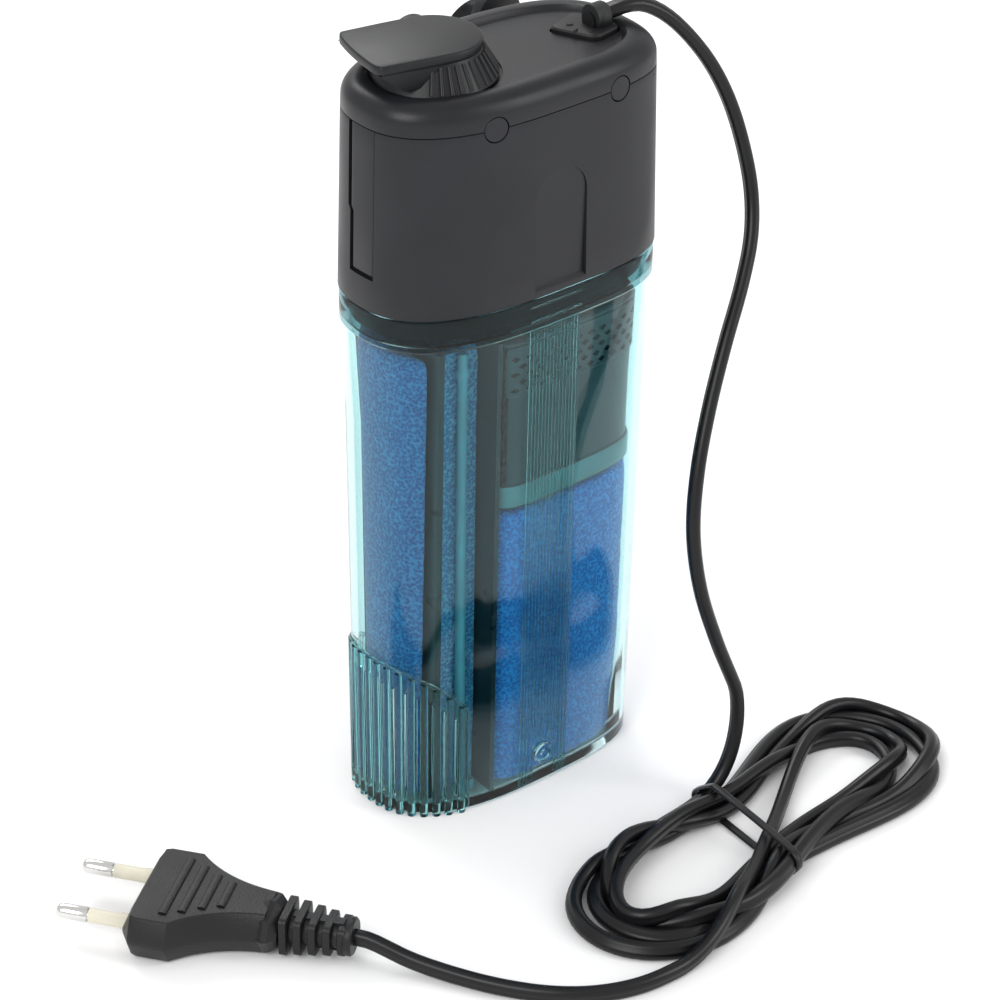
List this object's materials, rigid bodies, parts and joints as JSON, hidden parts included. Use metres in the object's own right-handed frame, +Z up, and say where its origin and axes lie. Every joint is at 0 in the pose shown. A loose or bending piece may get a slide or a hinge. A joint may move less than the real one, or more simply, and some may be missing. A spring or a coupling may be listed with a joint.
{
  "type": "internal power filter",
  "caption": "Upright internal aquarium filter: pump head with a turning outlet nozzle over a clear canister of sponge and carbon media, with wall bracket and mains lead.",
  "frame": {"origin": "middle of the canister's flat base", "axes": "+Z up, -Y the front, -X the round end with the outlet nozzle"},
  "size_m": [0.2318, 0.1474, 0.2157],
  "materials": {
    "black_plastic": "fine satin texture",
    "grey_plastic": "moulded",
    "white_plastic": "moulded",
    "clear_teal": "clear, tinted teal",
    "dark_teal": "moulded, dark tint",
    "rubber": "soft black",
    "ceramic": "polished ceramic",
    "steel": "laminated steel",
    "copper": "enamelled winding",
    "magnet": "ferrite",
    "sponge": "open-cell foam",
    "carbon": "granules",
    "plated_pin": "nickel plated"
  },
  "bodies": {
    "head": {"head_casing": "black_plastic", "end_panel": "black_plastic", "head_lid": "black_plastic", "lid_plug_front_1": "black_plastic", "lid_plug_back_1": "black_plastic", "lid_plug_front_2": "black_plastic", "lid_plug_back_2": "black_plastic", "cord_gland": "black_plastic", "cord_grommet": "rubber", "canister_seal": "rubber", "riser_duct": "grey_plastic", "impeller_chamber": "grey_plastic", "impeller_cover": "black_plastic", "rotor_well": "grey_plastic", "upper_bush": "rubber", "lower_bush": "rubber", "rotor_shaft": "ceramic", "stator_core": "steel", "stator_coil": "copper", "lead_upper": "rubber", "lead_hank": "rubber", "lead_lower": "rubber", "twist_tie": "rubber", "plug_body": "rubber", "plug_strain_relief": "rubber", "plug_pin_left": "plated_pin", "plug_pin_right": "plated_pin", "pin_sleeve_left": "white_plastic", "pin_sleeve_right": "white_plastic"},
    "nozzle": {"outlet_nozzle": "black_plastic"},
    "rotor": {"magnet_rotor": "magnet", "impeller": "white_plastic"},
    "canister": {"canister_shell": "clear_teal", "partition_left": "dark_teal", "partition_right": "dark_teal", "drain_plug": "clear_teal"},
    "left_media": {"left_sponge": "sponge"},
    "middle_media": {"middle_sponge": "sponge", "pull_rod": "clear_teal"},
    "carbon_cartridge": {"carbon_case": "dark_teal", "carbon_case_lid": "dark_teal", "carbon_granules": "carbon"},
    "right_media": {"right_sponge": "sponge"},
    "bracket": {"wall_bracket": "black_plastic", "suction_cup_left": "rubber", "suction_cup_right": "rubber"}
  },
  "joints": [
    {"name": "nozzle_turn", "type": "hinge", "parent": "head", "child": "nozzle", "pos_m": [-0.0175, 0.002, 0.206], "axis": [0, 0, 1], "range_deg": [-75, 95]},
    {"name": "rotor_spin", "type": "hinge", "parent": "head", "child": "rotor", "pos_m": [0.008, 0, 0.17], "axis": [0, 0, 1], "continuous": true},
    {"name": "canister_slide", "type": "slide", "parent": "head", "child": "canister", "axis": [0, 0, -1], "range_m": [0, 0.3]},
    {"name": "left_media_slide", "type": "slide", "parent": "canister", "child": "left_media", "axis": [0, 0, 1], "range_m": [0, 0.15]},
    {"name": "middle_media_slide", "type": "slide", "parent": "canister", "child": "middle_media", "axis": [0, 0, 1], "range_m": [0, 0.15]},
    {"name": "carbon_slide", "type": "slide", "parent": "canister", "child": "carbon_cartridge", "axis": [0, 0, 1], "range_m": [0, 0.15]},
    {"name": "right_media_slide", "type": "slide", "parent": "canister", "child": "right_media", "axis": [0, 0, 1], "range_m": [0, 0.15]},
    {"name": "bracket_slide", "type": "slide", "parent": "head", "child": "bracket", "axis": [0, 0, -1], "range_m": [0, 0.045]}
  ],
  "couplings": [
    {"joint": "left_media_slide", "follows": "canister_slide", "ratio": 0.5},
    {"joint": "middle_media_slide", "follows": "canister_slide", "ratio": 0.5},
    {"joint": "carbon_slide", "follows": "canister_slide", "ratio": 0.5},
    {"joint": "right_media_slide", "follows": "canister_slide", "ratio": 0.5}
  ]
}
